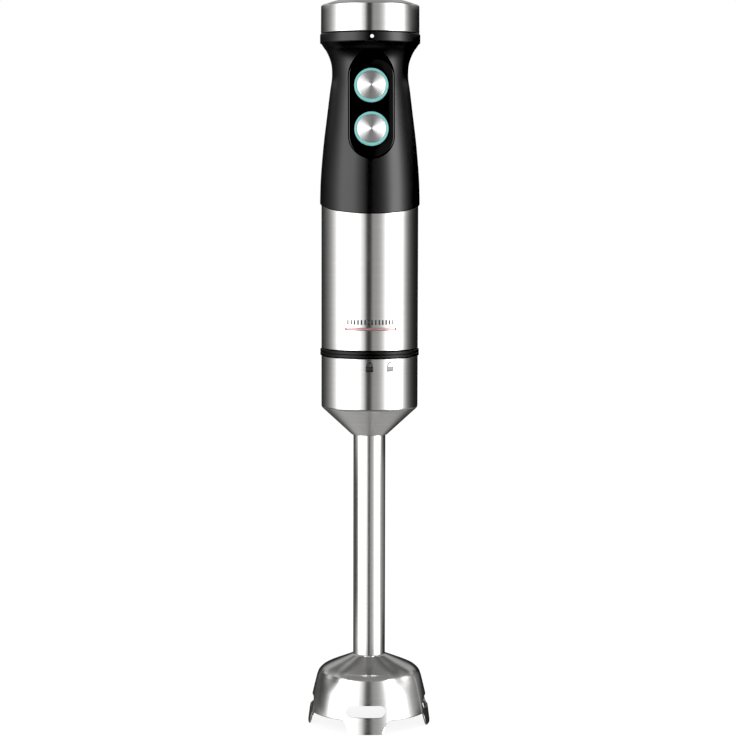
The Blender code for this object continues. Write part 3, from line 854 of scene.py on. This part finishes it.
BLACK_POINT = 0.012
CAMERA_TURN = math.radians(-2.1)
CAMERA_REACH = 1.1786      # metres, like the height and the step aside
CAMERA_HEIGHT = 0.2943
CAMERA_PITCH = math.radians(4.853)
CAMERA_LENS = 106.65
CAMERA_ROLL = math.radians(0.11)
CAMERA_SHIFT = -0.00085
CAMERA_SIDE = -0.0005


def camera():
    """A long lens at the photograph's viewing angle."""
    data = bpy.data.cameras.new("camera")
    data.sensor_width = 36.0
    data.lens = CAMERA_LENS
    data.shift_x = CAMERA_SHIFT
    data.clip_end = 50
    seen_from = Vector((math.sin(CAMERA_TURN), -math.cos(CAMERA_TURN), 0)) * CAMERA_REACH
    piece = bpy.data.objects.new("camera", data)
    place_at = Matrix.Translation(seen_from + Vector((CAMERA_SIDE, 0, CAMERA_HEIGHT)))
    tilt = Matrix.Rotation(math.pi / 2 - CAMERA_PITCH, 4, "X")
    piece.matrix_world = place_at @ turn(CAMERA_TURN) @ tilt @ turn(CAMERA_ROLL)
    bpy.context.scene.collection.objects.link(piece)
    bpy.context.scene.camera = piece


# The studio at eye level, by azimuth from the camera in degrees, positive to its right. A softbox has its
# left and right edge, its brightness, and how slowly it fades out to the left and to the right.
SOFTBOXES = ((-71, -37, 3.2, 17.5, 19.0), (53, 72, 5.1, 12.0, 10.6))
CLOTH = (-15, -4.5, 0.5, 9.5)        # a dark cloth before the object: begins, is full, thins, ends
CLOTH_COVER = 0.92
ROOM_TONE = 0.02
# Brightness behind the object, by elevation: only sloped faces mirror it
BEHIND = np.array([(-90, 0.4), (-75, 0.4), (-52, 0.45), (-42, 0.3), (-34, 0.02), (9, 0.0), (16, 0.42),
                   (32, 0.46), (37, 0.14), (46, 0.10), (53, 0.27), (62, 0.22), (90, 0.25)])
# Brightness below eye level in front of the object, by elevation
BELOW = np.array([(-90, 0.4), (-70, 0.4), (-58, 0.2), (-30, 0.13)])
HIGH_TONE = 0.3            # brightness high up in front of the object


def eye_level(azimuth):
    """Brightness at eye level: what the softboxes give there, less what the cloth keeps back."""
    glow = 0.0
    for left, right, level, before, after in SOFTBOXES:
        glow += level * math.exp(-max(0, left - azimuth) / before - max(0, azimuth - right) / after)
    start, full, thin, end = CLOTH
    cover = CLOTH_COVER * ease(azimuth, start, full) * (1 - ease(azimuth, thin, end))
    return ROOM_TONE + glow * (1 - cover)


def brightness(azimuth, elevation):
    """Brightness of the studio in any direction."""
    level = eye_level(azimuth)
    down = ease(-elevation, 18, 32)
    up = ease(elevation, 30, 44)
    front = level * (1 - down - up) + np.interp(elevation, *BELOW.T) * down + HIGH_TONE * up
    return front + (level + np.interp(elevation, *BEHIND.T) - front) * ease(abs(azimuth), 104, 122)


def studio_shell():
    """A shell round the object that carries the softboxes and the cloth, seen only in its reflections."""
    radius = 3000
    middle = 200
    azimuths = np.arange(-180, 180, 2)
    elevations = np.arange(-90, 91, 3)
    verts = []
    for elevation in np.radians(elevations):
        for azimuth in np.radians(azimuths):
            verts.append((radius * math.cos(elevation) * math.sin(azimuth),
                          -radius * math.cos(elevation) * math.cos(azimuth),
                          middle + radius * math.sin(elevation)))
    levels = [brightness(a, e) for e in elevations for a in azimuths]
    glowing("studio_shell", verts, stacked_faces(len(elevations), len(azimuths)), levels)


def glowing(name, verts, faces, levels):
    """A surface that glows by a brightness given per point, and that only reflections see."""
    mesh = bpy.data.meshes.new(name)
    mesh.from_pydata([tuple(c * MM for c in v) for v in verts], [], faces)
    mesh.attributes.new("brightness", "FLOAT", "POINT").data.foreach_set("value", levels)
    material = bpy.data.materials.new(name)
    material.use_nodes = True
    tree = material.node_tree
    tree.nodes.clear()
    light = tree.nodes.new("ShaderNodeEmission")
    level = tree.nodes.new("ShaderNodeAttribute")
    level.attribute_name = "brightness"
    output = tree.nodes.new("ShaderNodeOutputMaterial")
    tree.links.new(level.outputs["Fac"], light.inputs["Strength"])
    tree.links.new(light.outputs[0], output.inputs["Surface"])
    mesh.materials.append(material)
    piece = bpy.data.objects.new(name, mesh)
    piece.rotation_euler.z = CAMERA_TURN
    piece.visible_camera = False
    piece.visible_diffuse = False
    piece.visible_shadow = False
    piece.visible_transmission = False
    bpy.context.scene.collection.objects.link(piece)


# Brightness of the low cards beside the foot, by azimuth from the camera
LEFT_CARD = [(-142, 0.16), (-131, 0.14), (-115, 0.08), (-103, 0.13), (-94, 0.27), (-85, 0.95), (-76, 3.0)]
RIGHT_CARD = [(62, 4.0), (70, 3.0), (80, 1.17), (92, 0.5), (106, 0.33), (128, 0.2), (142, 0.1)]
CARD_HEIGHTS = (0.1, 120)
CARD_RADIUS = 300
CARD_LEAN = 0.77           # how far it comes in for each millimetre up


def low_card(name, tones):
    """A curved card that leans in by the foot: the foot's wall mirrors it, and the grip sees it edge on."""
    verts = []
    levels = []
    for azimuth in np.arange(tones[0][0], tones[-1][0] + 1, 1):
        angle = math.radians(azimuth)
        for height in CARD_HEIGHTS:
            radius = CARD_RADIUS - CARD_LEAN * height
            verts.append((radius * math.sin(angle), -radius * math.cos(angle), height))
            levels.append(np.interp(azimuth, *np.array(tones).T))
    glowing(name, verts, band_faces(len(verts)), levels)


def tube_flag():
    """A thin grey rod round the drive rod: it stands for the tube in the shoulder's mirror image.

    The lower bush is wider, so it shows in that image too.
    """
    low, high = box("shaft_tube")
    radius = 3.2
    tone = 0.14
    angles = np.linspace(0, 2 * math.pi, 25)
    verts = [(radius * math.sin(a), radius * math.cos(a), z) for a in angles for z in (low.z, high.z)]
    glowing("tube_flag", verts, band_faces(len(verts)), [tone] * len(verts))


def floor():
    """Plain pale floor, which no reflection sees."""
    size = 6000
    piece = finished("floor", [(-size, -size, 0), (size, -size, 0), (size, size, 0), (-size, size, 0)],
                     [(0, 1, 2, 3)])
    paint = Paint("floor", (0.15, 0.15, 0.15), 0.0, 0.9, Specular_IOR_Level=0.0, Emission_Strength=0.88)
    mottle = paint.noise(size=1.5)
    paint.link(paint.mix(mottle, (0.16, 0.16, 0.16), (0.14, 0.14, 0.14)), "Base Color")
    paint.put("Emission Color", (1, 1, 1, 1))
    piece.data.materials.append(paint.made)
    piece.location.z = -0.05 * MM
    piece.visible_glossy = False


def lights():
    """A white world, two soft lamps, and what only reflections see."""
    world = bpy.data.worlds.new("studio")
    bpy.context.scene.world = world
    world.use_nodes = True
    back = world.node_tree.nodes["Background"]
    back.inputs["Color"].default_value = (1, 1, 1, 1)
    back.inputs["Strength"].default_value = 1.0
    for name, place_at, power in (("key", (-1.2, -1.4, 1.6), 14), ("fill", (1.3, -1.0, 1.4), 9)):
        data = bpy.data.lights.new(name, "AREA")
        data.energy = power
        data.size = 1.2
        lamp = bpy.data.objects.new(name, data)
        lamp.location = place_at
        lamp.rotation_euler = (Vector((0, 0, 0.2)) - Vector(place_at)).to_track_quat("-Z", "Y").to_euler()
        lamp.visible_glossy = False
        bpy.context.scene.collection.objects.link(lamp)
    studio_shell()
    tube_flag()
    low_card("card_left", LEFT_CARD)
    low_card("card_right", RIGHT_CARD)


# ---------------------------------------------------------------- assembly

def build():
    """Everything in the scene, from the foot up, then the materials of the CAD nodes and the studio."""
    camera()
    bell_guard()
    bearing_hub()
    blade()
    blade_collar()
    blade_nut()
    tube()
    coupling()
    gasket()
    motor_shell()
    grip()
    panel()
    controls()
    index_mark()
    dial()
    gland()
    marks()
    slots = {s["node"]: s["material_slot"] for s in frame["record"]["subparts"]}
    for name, node in frame["nodes"].items():
        node.data.materials.clear()
        node.data.materials.append(SLOT_LOOKS[slots[name]])
    floor()
    lights()
    view = bpy.context.scene.view_settings
    view.view_transform = "Standard"
    view.use_curve_mapping = True
    view.curve_mapping.black_level = (BLACK_POINT,) * 3


build()
